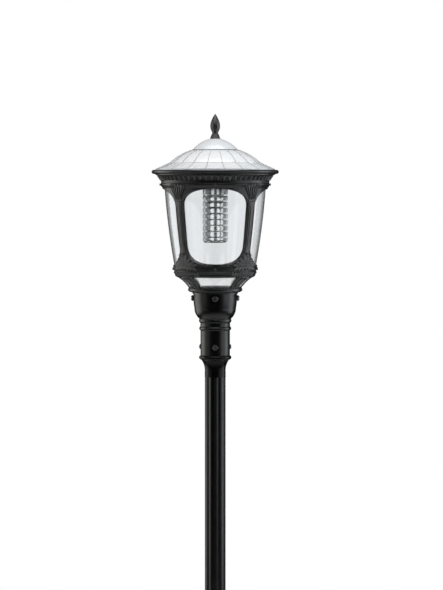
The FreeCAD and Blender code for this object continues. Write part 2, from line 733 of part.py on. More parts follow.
def make_battery():
    span_x = battery_pitch * battery_columns
    span_y = battery_pitch * battery_rows
    cell_foot = plate_top + tray_height / 2
    cell_top = cell_foot + battery_cell_height
    places = [((i - (battery_columns - 1) / 2) * battery_pitch,
               battery_offset + (j - (battery_rows - 1) / 2) * battery_pitch)
              for i in range(battery_columns) for j in range(battery_rows)]
    cells = [disc(battery_cell_radius, cell_foot, cell_top, x, y) for x, y in places]
    add("battery_cells", *cells)

    tray = block(span_x + 4, span_y + 4, plate_top, plate_top + tray_height, 0, battery_offset)
    pockets = [disc(battery_cell_radius + 0.2, cell_foot, cell_top, x, y) for x, y in places]
    add("battery_tray", tray.cut(pockets))

    link = 0.6
    links = [block(12, battery_pitch + 10, cell_top, cell_top + link, (i - (battery_columns - 1) / 2) * battery_pitch,
                   battery_offset) for i in range(battery_columns)]
    add("battery_links", *links)
    cover_foot = cell_top + link
    cover = block(span_x + 4, span_y + 4, cover_foot, cover_foot + 4, 0, battery_offset)
    add("battery_cover", cover)
    strap_y = span_y + 4 + 2 * small_gap
    strap = block(16, strap_y + 2.4, plate_top, cover_foot + 5.2, 0, battery_offset)
    hollow = block(18, strap_y, plate_top - 1, cover_foot + 4, 0, battery_offset)
    add("battery_strap", strap.cut(hollow))


def make_controller():
    length, width, height = controller_size
    y = controller_offset
    top = plate_top + height
    case = block(length, width, plate_top, top, 0, y)
    case = case.cut(block(length - 4, width - 4, plate_top + 2, top + 1, 0, y))
    board_foot = plate_top + 5
    posts = [disc(3, plate_top + 1, board_foot, sx * (length / 2 - 9), y + sy * (width / 2 - 9))
             for sx in (-1, 1) for sy in (-1, 1)]
    add("controller_case", joined(case, *posts))
    add("controller_board", block(length - 8, width - 8, board_foot, board_foot + 1.6, 0, y))
    board_top = board_foot + 1.6
    chips = [disc(5, board_top, board_top + 9, x, y + 8) for x in (-30, -16)]
    chips += [block(14, 14, board_top, board_top + 3, 6, y + 6),
              block(22, 10, board_top, board_top + 8, 28, y - 12)]
    add("controller_parts", *chips)
    add("controller_lid", block(length, width, top, top + 2, 0, y))


def bent_tube(points, radius, bend):
    """A lead: straight runs joined by tangent arcs, swept with a round section."""
    edges = []
    here = points[0]
    for before, corner, after in zip(points, points[1:], points[2:]):
        back = (before - corner).normalize()
        ahead = (after - corner).normalize()
        half = back.getAngle(ahead) / 2
        reach = bend / math.tan(half)
        start, end = corner + back * reach, corner + ahead * reach
        inward = (back + ahead).normalize()
        middle = corner + inward * (bend / math.sin(half) - bend)
        edges += [Part.makeLine(here, start), Part.Arc(start, middle, end).toShape()]
        here = end
    edges.append(Part.makeLine(here, points[-1]))
    path = Part.Wire(edges)
    section = Part.Wire(Part.makeCircle(radius, points[0], points[1] - points[0]))
    return path.makePipeShell([section], True, False)


def make_leads():
    """Three short leads between the controller, the panel, the battery and the LED column."""
    length, width, height = controller_size
    y = controller_offset
    z = plate_top + height / 2
    face = y + width / 2
    clear = plate_top + tray_height / 2 + battery_cell_height + 12
    cover_top = plate_top + tray_height / 2 + battery_cell_height + 4.6
    side = length / 2
    kink, middle, crown = roof_curve()[1:]
    arc = circle_through(kink, middle, crown)
    x = side + 34
    reach = math.hypot(x, y)
    over = crown[1]
    if reach > crown[0]:
        over = arc[1] + math.sqrt(arc[2] ** 2 - (reach - arc[0]) ** 2)
    under = over - cell_thickness - pan_wall
    panel = [Vector(side, y, z), Vector(x, y, z), Vector(x, y, under - 2.2)]
    add("panel_lead", bent_tube(panel, lead_radius, 14))
    near = battery_offset - battery_pitch * battery_rows / 2 - 18
    column = -battery_pitch * 1.5
    battery = [Vector(column + 8, face, z), Vector(column + 8, near, z), Vector(column + 8, near, clear),
               Vector(column + 8, battery_offset - 14, clear), Vector(column + 8, battery_offset - 14, cover_top)]
    add("battery_lead", bent_tube(battery, lead_radius, 6.5))
    led = [Vector(0, face, z), Vector(0, 0, z), Vector(0, 0, plate_foot - 8)]
    add("led_lead", bent_tube(led, lead_radius, 9))


def make_switch():
    """A rocker switch in the ceiling plate, worked from below. It rests tipped to one side."""
    x = switch_offset
    bezel_foot = plate_foot - 2
    pivot = plate_foot + 1.2
    body = joined(block(25, 17, bezel_foot, plate_foot, x), block(21, 13, plate_foot - 0.5, plate_top + 14, x))
    cavity = block(18, 9.6, bezel_foot - 1, plate_foot + 6, x)
    pin_length = 11.2
    pin_end = Vector(x, -pin_length / 2 - 0.1, pivot)
    pin_hole = Part.makeCylinder(1.0 + pin_gap, pin_length + 0.2, pin_end, Vector(0, 1, 0))
    add("switch_body", body.cut([cavity, pin_hole]))
    key = outline((x - 8.3, pivot - 1), (x - 8.3, pivot - 3.4), (x, pivot - 4.6), (x + 8.3, pivot - 3.4),
                  (x + 8.3, pivot - 1), (x + 3, pivot + 2), (x - 3, pivot + 2)).extrude(Vector(0, 9, 0))
    key.translate(Vector(0, -4.5, 0))
    pin = Part.makeCylinder(1.0, pin_length, Vector(x, -pin_length / 2, pivot), Vector(0, 1, 0))
    key = joined(key, pin)
    key.rotate(Vector(x, 0, pivot), Vector(0, 1, 0), rocker_tilt)
    add("switch_rocker", key)


# ================================================================ LED column
def make_led_column():
    collar_foot = plate_foot - 37.0
    flange = plate_foot - 3
    collar = ring(
        (louvre_radius - louvre_wall, collar_foot), (louvre_radius - 0.6, collar_foot),
        (louvre_radius, collar_foot + 1), (louvre_radius, plate_foot), (lead_hole, plate_foot),
        (lead_hole, flange), (louvre_radius - louvre_wall, flange),
    )
    screw_holes = around(disc(2.2, flange - 1, plate_foot + 1, hanger_circle), 3, 30)
    add("led_collar", collar.cut(screw_holes))
    shank = disc(2.2, flange - 3, plate_top, hanger_circle)
    screw = joined(shank, disc(3.6, plate_top, plate_top + 2.2, hanger_circle))
    add("led_collar_screws", *around(screw, 3, 30))

    column_foot = collar_foot - louvre_pitch * (louvre_count + 1)
    core_foot = column_foot + 6
    core = hexagon(2 * core_flat, core_foot, flange - 12)
    hanger = disc(hanger_circle + 4, flange - 12, flange)
    core = joined(core, hanger).cut(disc(core_bore, core_foot - 1, flange + 1))
    add("led_core", core.cut(around(disc(2.2, flange - 3, flange + 1, hanger_circle), 3, 30)))

    board_foot, board_top = core_foot + 8, collar_foot + 4
    board = Part.makeBox(board_thickness, board_width, board_top - board_foot,
                         Vector(core_flat, -board_width / 2, board_foot))
    add("led_boards", *around(board, 6, 30))
    face = core_flat + board_thickness
    chips = []
    for i in range(louvre_count):
        z = collar_foot - (i + 0.5) * louvre_pitch
        chip = Part.makeBox(chip_size[1], chip_size[0], chip_size[0],
                            Vector(face, -chip_size[0] / 2, z - chip_size[0] / 2))
        chips += around(chip, 6, 30)
    add("led_chips", *chips)

    r, wall, bulge = louvre_radius, louvre_wall, 1.6
    first_rod = 60.0
    lug = disc(lug_radius, 0, 5, rod_circle)
    for i in range(louvre_count):
        top = collar_foot - i * louvre_pitch - (louvre_pitch - louvre_height)
        foot = top - louvre_height
        middle = (foot + top) / 2
        band = ring((r - bulge, foot), ((r, middle), (r - bulge, top)), (r - bulge - wall, top),
                    ((r - wall, middle), (r - bulge - wall, foot)))
        lugs = around(lug, rod_count, first_rod)
        for one in lugs:
            one.translate(Vector(0, 0, middle - 2.5))
        inside = disc(r - wall + 0.2, foot - 1, top + 1)
        lugs = [one.common(inside) for one in lugs]
        rods = around(disc(rod_radius, foot, top, rod_circle), rod_count, first_rod)
        add(f"louvre_ring_{i + 1}", joined(band, *lugs).cut(rods))

    cap_head = column_foot + louvre_height
    skin = column_foot + wall
    corner = cap_corner * (1 - math.sqrt(0.5))
    inner_corner = (cap_corner - wall) * (1 - math.sqrt(0.5))
    outside = ring(
        (0, column_foot), (r - cap_corner, column_foot),
        ((r - corner, column_foot + corner), (r, column_foot + cap_corner)), (r - 0.8, cap_head), (0, cap_head),
    )
    inside = ring(
        (0, cap_head + 1), (r - 0.8 - wall, cap_head + 1), (r - wall, column_foot + cap_corner),
        ((r - wall - inner_corner, skin + inner_corner), (r - cap_corner, skin)), (0, skin),
    )
    cap = outside.cut(inside)
    rod_foot = skin + 5
    pads = around(disc(lug_radius, skin - 0.5, rod_foot, rod_circle), rod_count, first_rod)
    screw = joined(disc(1.5, column_foot + 1, rod_foot + 6, rod_circle),
                   Part.makeCone(3.2, 1.5, 1.8, Vector(rod_circle, 0, column_foot)))
    screws = around(screw, rod_count, first_rod)
    pads = [pad.common(outside) for pad in pads]
    add("led_end_cap", joined(cap, *pads).cut(screws))
    add("end_cap_screws", *screws)
    rods = around(disc(rod_radius, rod_foot, flange, rod_circle), rod_count, first_rod)
    add("louvre_rods", *[rod.cut(screw) for rod, screw in zip(rods, screws)])


# ================================================================ build
make_base()
make_post()
make_adaptor()
make_fitter()
make_fitter_screws()
make_lower_cage()
make_lower_lens()
make_upper_cage()
make_main_lens()
make_band_screws()
make_cornice()
make_roof_pan()
make_solar_cells()
make_roof_cap()
make_finial()
make_ceiling_plate()
make_battery()
make_controller()
make_leads()
make_switch()
make_led_column()

os.makedirs("parts", exist_ok=True)
for name, shape in parts.items():
    shape.exportStep(f"parts/{name}.step")
    solids = shape.Solids
    state = "valid" if shape.isValid() else "INVALID"
    print(f"{name}: {len(solids)} solid(s), {sum(s.Volume for s in solids) / 1000:.1f} cm3, {state}")
print(f"{len(parts)} nodes, {cap_top + finial_height:.1f} mm tall")
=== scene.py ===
# %% [markdown]
# # A solar street lamp
# A black cast lantern stands on a fluted post. Four arched windows show a clear lens, and a louvred
# column of LEDs hangs inside it from a pale solar roof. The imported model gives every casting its
# true size and place. This lesson gives each piece its finish, and carves the leaves and flutes that
# a foundry would press into the castings.

import json
import math

import bpy
import numpy as np
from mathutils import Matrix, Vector
from mathutils.bvhtree import BVHTree


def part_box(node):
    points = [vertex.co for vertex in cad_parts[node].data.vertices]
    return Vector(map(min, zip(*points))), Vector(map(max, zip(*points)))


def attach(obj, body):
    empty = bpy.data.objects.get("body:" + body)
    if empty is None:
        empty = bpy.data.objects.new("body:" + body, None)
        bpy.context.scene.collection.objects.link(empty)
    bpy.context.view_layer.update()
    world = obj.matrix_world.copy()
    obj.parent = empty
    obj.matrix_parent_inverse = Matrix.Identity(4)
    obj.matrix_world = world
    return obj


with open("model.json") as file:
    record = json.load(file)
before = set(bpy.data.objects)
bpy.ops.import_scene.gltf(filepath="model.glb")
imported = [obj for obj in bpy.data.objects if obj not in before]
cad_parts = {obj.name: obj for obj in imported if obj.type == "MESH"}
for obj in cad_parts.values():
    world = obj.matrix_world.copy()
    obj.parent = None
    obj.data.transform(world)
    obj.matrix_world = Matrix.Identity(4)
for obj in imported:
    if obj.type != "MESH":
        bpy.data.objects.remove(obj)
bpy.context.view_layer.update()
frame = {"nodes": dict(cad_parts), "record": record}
nodes = frame["nodes"]

# %% [markdown]
# ## Small helpers for materials
# A material is a tree of nodes. It could be clicked together by hand, but here a few short functions
# place a node, set its values and link it, so that each finish below reads as a short recipe.

# %% Helpers that place and link shader nodes
def place(tree, kind, **values):
    """A node whose inputs and settings are given by name. A socket as a value becomes a link."""
    node = tree.nodes.new(kind)
    for key, value in values.items():
        name = key.replace("_", " ")
        if hasattr(node, key) and name not in node.inputs:
            setattr(node, key, value)
        elif isinstance(value, bpy.types.NodeSocket):
            tree.links.new(value, node.inputs[name])
        else:
            node.inputs[name].default_value = value
    return node


def sum_of(tree, operation, a, b, clamp=False):
    """One step of arithmetic on two values or sockets."""
    node = tree.nodes.new("ShaderNodeMath")
    node.operation = operation
    node.use_clamp = clamp
    for slot, value in zip(node.inputs, (a, b)):
        if isinstance(value, bpy.types.NodeSocket):
            tree.links.new(value, slot)
        else:
            slot.default_value = value
    return node.outputs[0]


def span(tree, value, low, high, to_low=0.0, to_high=1.0):
    """Stretches the range low to high onto another range, and stops at its ends."""
    node = tree.nodes.new("ShaderNodeMapRange")
    tree.links.new(value, node.inputs["Value"])
    for name, number in zip(("From Min", "From Max", "To Min", "To Max"), (low, high, to_low, to_high)):
        node.inputs[name].default_value = number
    return node.outputs["Result"]


def blend_colour(tree, factor, first, second):
    """Mixes two colours by a mask."""
    node = tree.nodes.new("ShaderNodeMix")
    node.data_type = "RGBA"
    tree.links.new(factor, node.inputs["Factor"])
    sockets = [s for s in node.inputs if s.type == "RGBA"]
    for slot, colour in zip(sockets, (first, second)):
        if isinstance(colour, bpy.types.NodeSocket):
            tree.links.new(colour, slot)
        else:
            slot.default_value = (*colour, 1.0)
    return [s for s in node.outputs if s.type == "RGBA"][0]


print("small helpers: place, sum_of, span, blend_colour")

# %% [markdown]
# ## Helpers for groups and whole materials
# An effect that several finishes share is worth building once, as a node group with named sockets.
# Every finish itself is one Principled shader, and its even values sit on the shader's own sockets.
# The object's own coordinates are in metres, so a scale of 700 means about 700 cells to a metre.

# %% Helpers that make groups and materials
FLOAT, VECTOR = "NodeSocketFloat", "NodeSocketVector"


def new_group(name, inputs, outputs):
    """An empty node group with its named sockets. Returns the group, its inputs node and outputs node."""
    group = bpy.data.node_groups.new(name, "ShaderNodeTree")
    for title, kind, value in inputs:
        socket = group.interface.new_socket(title, in_out="INPUT", socket_type=kind)
        if value is not None:
            socket.default_value = value
    for title, kind in outputs:
        group.interface.new_socket(title, in_out="OUTPUT", socket_type=kind)
    return group, group.nodes.new("NodeGroupInput"), group.nodes.new("NodeGroupOutput")


def use(tree, group, **values):
    """Places a node group in a material with its own values."""
    node = tree.nodes.new("ShaderNodeGroup")
    node.node_tree = group
    for key, value in values.items():
        slot = node.inputs[key.replace("_", " ")]
        if isinstance(value, bpy.types.NodeSocket):
            tree.links.new(value, slot)
        else:
            slot.default_value = value
    return node


def new_material(name, **plain):
    """A material with one Principled shader, whose uniform values are set on its own sockets."""
    material = bpy.data.materials.new(name)
    material.use_nodes = True
    tree = material.node_tree
    shader = tree.nodes["Principled BSDF"]
    for key, value in plain.items():
        shader.inputs[key.replace("_", " ")].default_value = value
    where = tree.nodes.new("ShaderNodeTexCoord").outputs["Object"]
    return material, tree, shader, where


print("larger helpers: new_group, use, new_material")

# %% [markdown]
# ## Orange peel
# Real surfaces share a few habits, and each of the next four is built once and used by many finishes.
# The first is the orange peel of a baked coat: fine bumps a millimetre or two across, and a slow
# mottle in gloss. Noise alone looks like fog, so a little of a cell pattern sharpens the bumps.

# %% Orange peel and mottle
grain, g_in, g_out = new_group(
    "paint_grain",
    [("Vector", VECTOR, None), ("Peel Scale", FLOAT, 700.0), ("Mottle Scale", FLOAT, 40.0)],
    [("Height", FLOAT), ("Mottle", FLOAT)])
peel = place(grain, "ShaderNodeTexNoise", Vector=g_in.outputs["Vector"], Scale=g_in.outputs["Peel Scale"],
             Detail=3.0, Roughness=0.45)
pores = place(grain, "ShaderNodeTexVoronoi", Vector=g_in.outputs["Vector"], Scale=g_in.outputs["Peel Scale"])
mottle = place(grain, "ShaderNodeTexNoise", Vector=g_in.outputs["Vector"], Scale=g_in.outputs["Mottle Scale"],
               Detail=5.0, Roughness=0.6)
height = sum_of(grain, "ADD", peel.outputs["Fac"], sum_of(grain, "MULTIPLY", pores.outputs["Distance"], 0.35))
grain.links.new(height, g_out.inputs["Height"])
grain.links.new(span(grain, mottle.outputs["Fac"], 0.3, 0.7), g_out.inputs["Mottle"])
print("paint_grain gives", [socket.name for socket in g_out.inputs if socket.name])

# %% [markdown]
# ## Edge wear and edge highlight
# Corners lose their coat first. A corner is found by comparing the true normal with one that a small
# bevel has rounded: the two differ only near an edge. A noise breaks the line up, since rubbing
# never wears evenly. On the black castings this edge mask also carries a painted grey highlight.

# %% Edge wear
wear, w_in, w_out = new_group(
    "edge_wear",
    [("Vector", VECTOR, None), ("Radius", FLOAT, 0.0015), ("Breakup", FLOAT, 90.0), ("Amount", FLOAT, 0.5)],
    [("Mask", FLOAT)])
soft = place(wear, "ShaderNodeBevel", samples=4, Radius=w_in.outputs["Radius"])
sharp = wear.nodes.new("ShaderNodeNewGeometry")
likeness = place(wear, "ShaderNodeVectorMath", operation="DOT_PRODUCT")
wear.links.new(soft.outputs["Normal"], likeness.inputs[0])
wear.links.new(sharp.outputs["Normal"], likeness.inputs[1])
patchy = place(wear, "ShaderNodeTexNoise", Vector=w_in.outputs["Vector"], Scale=w_in.outputs["Breakup"],
               Detail=6.0, Roughness=0.7)
edge = span(wear, likeness.outputs["Value"], 0.985, 0.86)
rubbed = sum_of(wear, "MULTIPLY", edge, span(wear, patchy.outputs["Fac"], 0.42, 0.66))
wear.links.new(sum_of(wear, "MULTIPLY", rubbed, w_in.outputs["Amount"], clamp=True), w_out.inputs["Mask"])
print("edge_wear gives", [socket.name for socket in w_out.inputs if socket.name])

# %% [markdown]
# ## Settled dust
# Dust lies on what faces up and slides off what doesn't. The normal's upward part chooses the
# ledges, and a rough noise gathers the dust into flecks.

# %% Settled dust
dust, d_in, d_out = new_group(
    "settled_dust",
    [("Vector", VECTOR, None), ("Scale", FLOAT, 55.0), ("Amount", FLOAT, 0.3)],
    [("Mask", FLOAT)])
surface = dust.nodes.new("ShaderNodeNewGeometry")
slope = place(dust, "ShaderNodeSeparateXYZ", Vector=surface.outputs["Normal"])
flecks = place(dust, "ShaderNodeTexNoise", Vector=d_in.outputs["Vector"], Scale=d_in.outputs["Scale"],
               Detail=8.0, Roughness=0.72)
lying = sum_of(dust, "MULTIPLY", span(dust, slope.outputs["Z"], 0.2, 0.95),
               span(dust, flecks.outputs["Fac"], 0.38, 0.72))
dust.links.new(sum_of(dust, "MULTIPLY", lying, d_in.outputs["Amount"], clamp=True), d_out.inputs["Mask"])
print("settled_dust gives", [socket.name for socket in d_out.inputs if socket.name])

# %% [markdown]
# ## Lathe lines
# A turning tool leaves rings round the axis. The post's axis is the upright one, so a noise that is
# squeezed to change only with height draws them: a fine one for the grooves, a broad one for tone.

# %% Lathe lines
lathe_lines, l_in, l_out = new_group(
    "lathe_lines",
    [("Vector", VECTOR, None), ("Lines", FLOAT, 2600.0)],
    [("Height", FLOAT), ("Streak", FLOAT)])
upright = place(lathe_lines, "ShaderNodeVectorMath", operation="MULTIPLY")
lathe_lines.links.new(l_in.outputs["Vector"], upright.inputs[0])
upright.inputs[1].default_value = (0.02, 0.02, 1.0)
fine = place(lathe_lines, "ShaderNodeTexNoise", Vector=upright.outputs["Vector"], Scale=l_in.outputs["Lines"],
             Detail=2.0, Roughness=0.5)
broad = place(lathe_lines, "ShaderNodeTexNoise", Vector=upright.outputs["Vector"],
              Scale=sum_of(lathe_lines, "MULTIPLY", l_in.outputs["Lines"], 0.12), Detail=3.0)
lathe_lines.links.new(fine.outputs["Fac"], l_out.inputs["Height"])
lathe_lines.links.new(broad.outputs["Fac"], l_out.inputs["Streak"])
print("shared effects:", [group.name for group in bpy.data.node_groups])

# %% [markdown]
# ## A recipe for painted metal
# The castings and the post are powder coated: a dry paint baked on, black and satin, with a fine
# orange peel. A flat black would look like a hole, so the coat gets its peel as bump, a roughness
# that wanders a little, dust on its ledges, and a grey at rubbed edges that is partly wear and partly
# a painted highlight. Carved pieces also say how high each point stands, and a crest colour paints a
# highlight on their high points.

# %% A recipe for painted metal
PALE_DUST = (0.23, 0.22, 0.20)


def painted(name, colour, rough, peel_scale=700.0, peel_depth=0.00012, wear_and_highlight=(0.09, 0.09, 0.09),
            wear_and_highlight_amount=0.35, dust_amount=0.22, crest_highlight_colour=None, **plain):
    """A coat of paint. The edge colour shows at rubbed edges, partly wear and partly a painted highlight, and
    the crest colour paints a highlight on carved crests.
    """
    material, tree, shader, where = new_material(name, **plain)
    skin = use(tree, grain, Vector=where, Peel_Scale=peel_scale)
    rubbed_and_highlit_edges = use(tree, wear, Vector=where, Amount=wear_and_highlight_amount)
    film = use(tree, dust, Vector=where, Amount=dust_amount)
    shade = [c * 1.7 if c < 0.1 else c * 0.95 for c in colour]  # a dark coat mottles up, a pale one down
    base = blend_colour(tree, skin.outputs["Mottle"], colour, shade)
    # Painted highlight: with a crest colour, the high points of a carving are lightened towards it.
    if crest_highlight_colour:
        rise = tree.nodes.new("ShaderNodeAttribute")
        rise.attribute_name = "rise"
        patch = span(tree, skin.outputs["Mottle"], 0.0, 1.0, 0.6, 1.0)
        high = sum_of(tree, "MULTIPLY", span(tree, rise.outputs["Fac"], 0.35, 0.95), patch)
        base = blend_colour(tree, high, base, crest_highlight_colour)
    # Rubbed edges turn to the edge colour: partly wear, and on the black castings partly a painted highlight.
    base = blend_colour(tree, rubbed_and_highlit_edges.outputs["Mask"], base, wear_and_highlight)
    base = blend_colour(tree, film.outputs["Mask"], base, PALE_DUST)
    tree.links.new(base, shader.inputs["Base Color"])
    sheen = span(tree, skin.outputs["Mottle"], 0.0, 1.0, rough - 0.04, rough + 0.05)
    dulled = sum_of(tree, "ADD", sheen, sum_of(tree, "MULTIPLY", film.outputs["Mask"], 0.5), clamp=True)
    tree.links.new(dulled, shader.inputs["Roughness"])
    bump = place(tree, "ShaderNodeBump", Strength=0.6, Distance=peel_depth, Height=skin.outputs["Height"])
    tree.links.new(bump.outputs["Normal"], shader.inputs["Normal"])
    return material


print("a painted metal takes its colour, roughness, peel, wear and dust by name")

# %% [markdown]
# ## The black coats
# One black does for the whole lamp in the shop, but it doesn't look one black in use. The lantern's
# castings, the finial and the screws get greyer copies of the black that paint in the light falling on
# them, the carving gets a painted highlight on its crests, and the flare under the fitter reflects
# least. A coat for each keeps them apart.

# %% Mix the black coats
# The castings' coat: its grey edge colour is partly wear and partly a painted highlight.
casting_paint = painted("black_casting_coat", (0.0010, 0.0010, 0.0011), 0.33, peel_depth=0.00006,
                        wear_and_highlight=(0.17, 0.17, 0.17), wear_and_highlight_amount=0.70, dust_amount=0.06)
# The lantern's castings: a greyer copy of the black, which is painted light.
lantern_lit_paint = painted("lantern_coat_painted_light", (0.015, 0.015, 0.0155), 0.33, peel_depth=0.00006,
                        wear_and_highlight=(0.17, 0.17, 0.17), wear_and_highlight_amount=0.70, dust_amount=0.06)
# The carving's coat: a grey painted highlight on its crests and its edges.
carved_paint = painted("black_carved_coat", (0.0030, 0.0030, 0.0031), 0.34, peel_depth=0.00006,
                       wear_and_highlight=(0.36, 0.36, 0.36), wear_and_highlight_amount=1.0, dust_amount=0.12, crest_highlight_colour=(0.16, 0.16, 0.162))
# The finial: a greyer copy of the black, which is painted light on its faces.
finial_lit_paint = painted("finial_coat_painted_light", (0.016, 0.016, 0.017), 0.42, peel_depth=0.00006,
                       wear_and_highlight=(0.17, 0.17, 0.17), wear_and_highlight_amount=0.70, dust_amount=0.06)
post_paint = painted("black_post_coat", (0.0009, 0.0009, 0.0009), 0.34, peel_scale=500.0,
                     peel_depth=0.00004, wear_and_highlight=(0.02, 0.02, 0.02), wear_and_highlight_amount=0.15, dust_amount=0.05,
                     Specular_IOR_Level=0.42)
flare_paint = painted("black_flare_coat", (0.0009, 0.0009, 0.0009), 0.34, peel_depth=0.00004,
                      wear_and_highlight=(0.03, 0.03, 0.03), wear_and_highlight_amount=0.2, dust_amount=0.05, Specular_IOR_Level=0.20)
# The screws: a grey base that paints in their highlights; their rubbed edges are wear.
screw_highlit_paint = painted("screw_coat_painted_highlight", (0.040, 0.040, 0.041), 0.34, peel_scale=1400.0,
                      peel_depth=0.00005, wear_and_highlight=(0.22, 0.22, 0.22), wear_and_highlight_amount=0.8)
print("black coats:", [m.name for m in (casting_paint, lantern_lit_paint, carved_paint, finial_lit_paint,
                                       post_paint, flare_paint, screw_highlit_paint)])

# %% [markdown]
# ## Bare metals
# The louvre rings are turned and polished aluminium, so they keep lathe lines that run round them.
# The core and the ceiling plate are plainer. A metal's look is nearly all reflection, so its colour
# barely changes and the lines go into roughness and bump.

# %% A recipe for bare metal
def bare_metal(name, colour, rough, lines=2600.0, depth=0.00003, dark=0.82):
    """Turned metal: lines is how many grooves there are to a metre of height."""
    material, tree, shader, where = new_material(name, Metallic=1.0)
    turned = use(tree, lathe_lines, Vector=where, Lines=lines)
    skin = use(tree, grain, Vector=where, Peel_Scale=900.0, Mottle_Scale=60.0)
    low = [c * dark for c in colour]
    base = blend_colour(tree, span(tree, turned.outputs["Streak"], 0.35, 0.65), low, colour)
    film = use(tree, dust, Vector=where, Amount=0.35)
    base = blend_colour(tree, film.outputs["Mask"], base, (0.42, 0.41, 0.39))
    tree.links.new(base, shader.inputs["Base Color"])
    sheen = sum_of(tree, "ADD", span(tree, turned.outputs["Streak"], 0.3, 0.7, rough * 0.75, rough * 1.2),
                   sum_of(tree, "MULTIPLY", skin.outputs["Mottle"], 0.05), clamp=True)
    tree.links.new(sheen, shader.inputs["Roughness"])
    bump = place(tree, "ShaderNodeBump", Strength=0.5, Distance=depth, Height=turned.outputs["Height"])
    tree.links.new(bump.outputs["Normal"], shader.inputs["Normal"])
    return material


bright_aluminium = bare_metal("turned_aluminium", (0.84, 0.85, 0.86), 0.20)
plain_aluminium = bare_metal("dull_aluminium", (0.62, 0.63, 0.64), 0.38, lines=900.0)
stainless = bare_metal("stainless_steel", (0.55, 0.56, 0.57), 0.28, lines=3500.0)
print("bare metals:", bright_aluminium.name, plain_aluminium.name, stainless.name)

# %% [markdown]
# ## Clear lens
# The lens is moulded polycarbonate, clear above and slightly frosted below. Full transmission bends
# light at the wall's edges. Where the wall is seen at a slant, a darker rim colour takes over and
# paints the thin dark outline that the bending light gives clear mouldings. Shadow rays pass as if
# the lens weren't there, because waiting for light to bend its own way in would only add noise.

# %% A recipe for clear moulding
def clear_moulding(name, tint, rough, painted_edge_shade):
    """Clear plastic with a smear of handling on it. Its own tint in the middle turns to a painted dark edge at
    a slant.
    """
    material, tree, shader, where = new_material(
        name, Metallic=0.0, Transmission_Weight=1.0, IOR=1.45)
    ripple = place(tree, "ShaderNodeTexNoise", Vector=where, Scale=14.0, Detail=2.0)
    film = place(tree, "ShaderNodeTexNoise", Vector=where, Scale=38.0, Detail=8.0, Roughness=0.75)
    smear = span(tree, film.outputs["Fac"], 0.45, 0.75)
    tree.links.new(span(tree, smear, 0.0, 1.0, rough, rough + 0.05), shader.inputs["Roughness"])
    clear = blend_colour(tree, smear, tint, [c * 0.985 for c in tint])
    # Painted shade: the tint turns to the dark rim colour where the wall is seen at a slant.
    slant = place(tree, "ShaderNodeLayerWeight", Blend=0.5)
    clear = blend_colour(tree, span(tree, slant.outputs["Facing"], 0.62, 0.95), clear, painted_edge_shade)
    tree.links.new(clear, shader.inputs["Base Color"])
    bump = place(tree, "ShaderNodeBump", Strength=0.25, Distance=0.0006, Height=ripple.outputs["Fac"])
    tree.links.new(bump.outputs["Normal"], shader.inputs["Normal"])
    out = tree.nodes["Material Output"]
    open_way = tree.nodes.new("ShaderNodeBsdfTransparent")
    open_way.inputs["Color"].default_value = (0.93, 0.945, 0.95, 1.0)
    path = tree.nodes.new("ShaderNodeLightPath")
    choice = tree.nodes.new("ShaderNodeMixShader")
    tree.links.new(path.outputs["Is Shadow Ray"], choice.inputs["Fac"])
    tree.links.new(shader.outputs["BSDF"], choice.inputs[1])
    tree.links.new(open_way.outputs["BSDF"], choice.inputs[2])
    tree.links.new(choice.outputs["Shader"], out.inputs["Surface"])
    return material


# The last colour of each lens is its painted dark edge.
lens_clear = clear_moulding("clear_main_lens", (0.965, 0.98, 0.99), 0.012, (0.16, 0.17, 0.175))
lens_frosted = clear_moulding("frosted_lower_lens", (0.98, 0.99, 0.99), 0.07, (0.75, 0.76, 0.765))
print("lenses:", lens_clear.name, lens_frosted.name)

# %% [markdown]
# ## Roof finishes
# The roof's cells lie under a glossy pale laminate, so they read almost white. Fine silver fingers
# run across each cell, and a coat keeps the top glassy. The cap is a smooth silver-white pressing,
# and the seams between the cells are plain grey strips.

# %% Solar laminate
FINGER_PITCH = 0.0045


def solar_face(name):
    """Pale cells with rings of fine silver fingers under a glossy laminate."""
    material, tree, shader, where = new_material(name, Coat_Weight=0.6, Coat_Roughness=0.08, Metallic=0.0)
    split = place(tree, "ShaderNodeSeparateXYZ", Vector=where)
    x_squared, y_squared = (sum_of(tree, "MULTIPLY", split.outputs[axis], split.outputs[axis]) for axis in "XY")
    radius = sum_of(tree, "SQRT", sum_of(tree, "ADD", x_squared, y_squared), 0.0)
    ripple = sum_of(tree, "SINE", sum_of(tree, "MULTIPLY", radius, 2 * math.pi / FINGER_PITCH), 0.0)
    finger = span(tree, ripple, 0.90, 0.99)
    cloud = place(tree, "ShaderNodeTexNoise", Vector=where, Scale=22.0, Detail=6.0, Roughness=0.65)
    base = blend_colour(tree, span(tree, cloud.outputs["Fac"], 0.3, 0.7),
                        (0.82, 0.84, 0.86), (0.86, 0.875, 0.89))
    base = blend_colour(tree, sum_of(tree, "MULTIPLY", finger, 0.35), base, (0.52, 0.55, 0.58))
    film = use(tree, dust, Vector=where, Amount=0.09, Scale=30.0)
    base = blend_colour(tree, film.outputs["Mask"], base, (0.56, 0.54, 0.50))
    tree.links.new(base, shader.inputs["Base Color"])
    tree.links.new(span(tree, cloud.outputs["Fac"], 0.3, 0.7, 0.22, 0.34), shader.inputs["Roughness"])
    bump = place(tree, "ShaderNodeBump", Strength=0.2, Distance=0.0001, Height=finger)
    tree.links.new(bump.outputs["Normal"], shader.inputs["Normal"])
    return material


solar_laminate = solar_face("solar_laminate")
cap_paint = painted("silver_white_cap", (0.71, 0.735, 0.76), 0.26, peel_depth=0.00004,
                    wear_and_highlight=(0.5, 0.52, 0.54), wear_and_highlight_amount=0.3, dust_amount=0.12, Coat_Weight=0.3)
seam_paint = painted("grey_seam", (0.50, 0.515, 0.53), 0.35, wear_and_highlight=(0.4, 0.4, 0.4), dust_amount=0.1)
print("roof:", solar_laminate.name, cap_paint.name, seam_paint.name)

